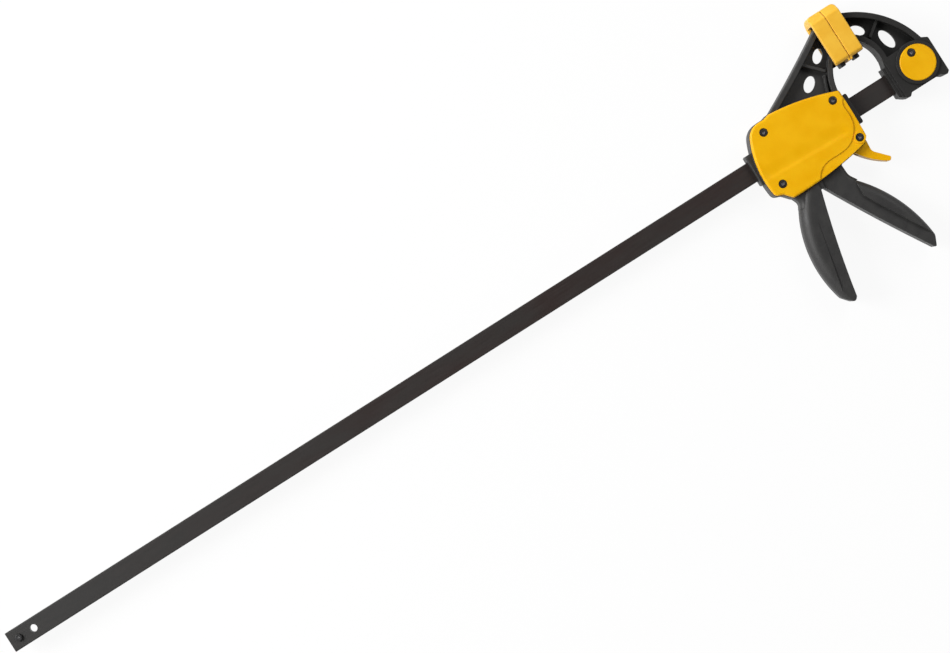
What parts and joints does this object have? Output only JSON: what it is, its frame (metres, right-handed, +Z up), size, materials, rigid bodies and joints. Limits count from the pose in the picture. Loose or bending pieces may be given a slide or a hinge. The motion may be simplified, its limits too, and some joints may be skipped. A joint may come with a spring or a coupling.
{
  "type": "quick release bar clamp",
  "caption": "One-handed bar clamp: pistol-grip carriage slides along a flat steel bar towards a fixed jaw; squeezing the trigger closes the padded jaws, a small lever releases it.",
  "frame": {"origin": "bottom centre of the whole clamp lying on its side, with the jaws closed", "axes": "+X along the bar towards the fixed jaw, +Y across the bar towards the jaw tips, +Z up, out of the screwed cover"},
  "size_m": [0.9696, 0.2324, 0.038],
  "materials": {
    "bar_steel": "black oxide, satin",
    "steel": "plain steel",
    "spring_steel": "drawn wire",
    "black_screw": "black oxide",
    "black_nylon": "fine grained",
    "yellow_plastic": "satin",
    "yellow_pad": "soft, matte"
  },
  "bodies": {
    "fixed_side": {"bar": "bar_steel", "stop_pin": "steel", "fixed_jaw": "black_nylon", "fixed_pad": "yellow_pad", "jaw_cap_front": "yellow_plastic", "jaw_cap_rear": "yellow_plastic", "jaw_cap_screw": "black_screw", "jaw_lock_pin": "steel"},
    "carriage": {"body_frame": "black_nylon", "moving_pad": "yellow_pad", "front_cover": "yellow_plastic", "rear_cover": "yellow_plastic", "cover_screws": "black_screw", "trigger_pin": "steel", "lever_sleeve": "steel", "drive_spring": "spring_steel", "brake_spring": "spring_steel"},
    "trigger_lever": {"trigger": "black_nylon"},
    "drive": {"drive_plates": "steel"},
    "brake": {"brake_plates": "steel"},
    "release": {"release_lever": "yellow_plastic"}
  },
  "joints": [
    {"name": "carriage_slide", "type": "slide", "parent": "fixed_side", "child": "carriage", "axis": [-1, 0, 0], "range_m": [0, 0.7614]},
    {"name": "trigger_pivot", "type": "hinge", "parent": "carriage", "child": "trigger_lever", "pos_m": [0.3483, 0.04521, 0.019], "axis": [0, 0, -1], "range_deg": [0, 22], "stiffness_Nm_per_rad": 0.8, "springref_deg": -20.05},
    {"name": "drive_slide", "type": "slide", "parent": "carriage", "child": "drive", "axis": [-1, 0, 0], "range_m": [0, 0.0066], "deforming": ["drive_spring"]},
    {"name": "release_pivot", "type": "hinge", "parent": "carriage", "child": "release", "pos_m": [0.386, 0.00311, 0.019], "axis": [0, 0, -1], "range_deg": [0, 18], "stiffness_Nm_per_rad": 0.06, "springref_deg": -20.05},
    {"name": "brake_tilt", "type": "hinge", "parent": "carriage", "child": "brake", "pos_m": [0.3763, 0.04621, 0.019], "axis": [0, 0, -1], "range_deg": [0, 2.06], "deforming": ["brake_spring"]}
  ],
  "couplings": [
    {"joint": "drive_slide", "follows": "trigger_pivot", "m_per_rad": 0.01711},
    {"joint": "brake_tilt", "follows": "release_pivot", "ratio": 0.11389}
  ]
}
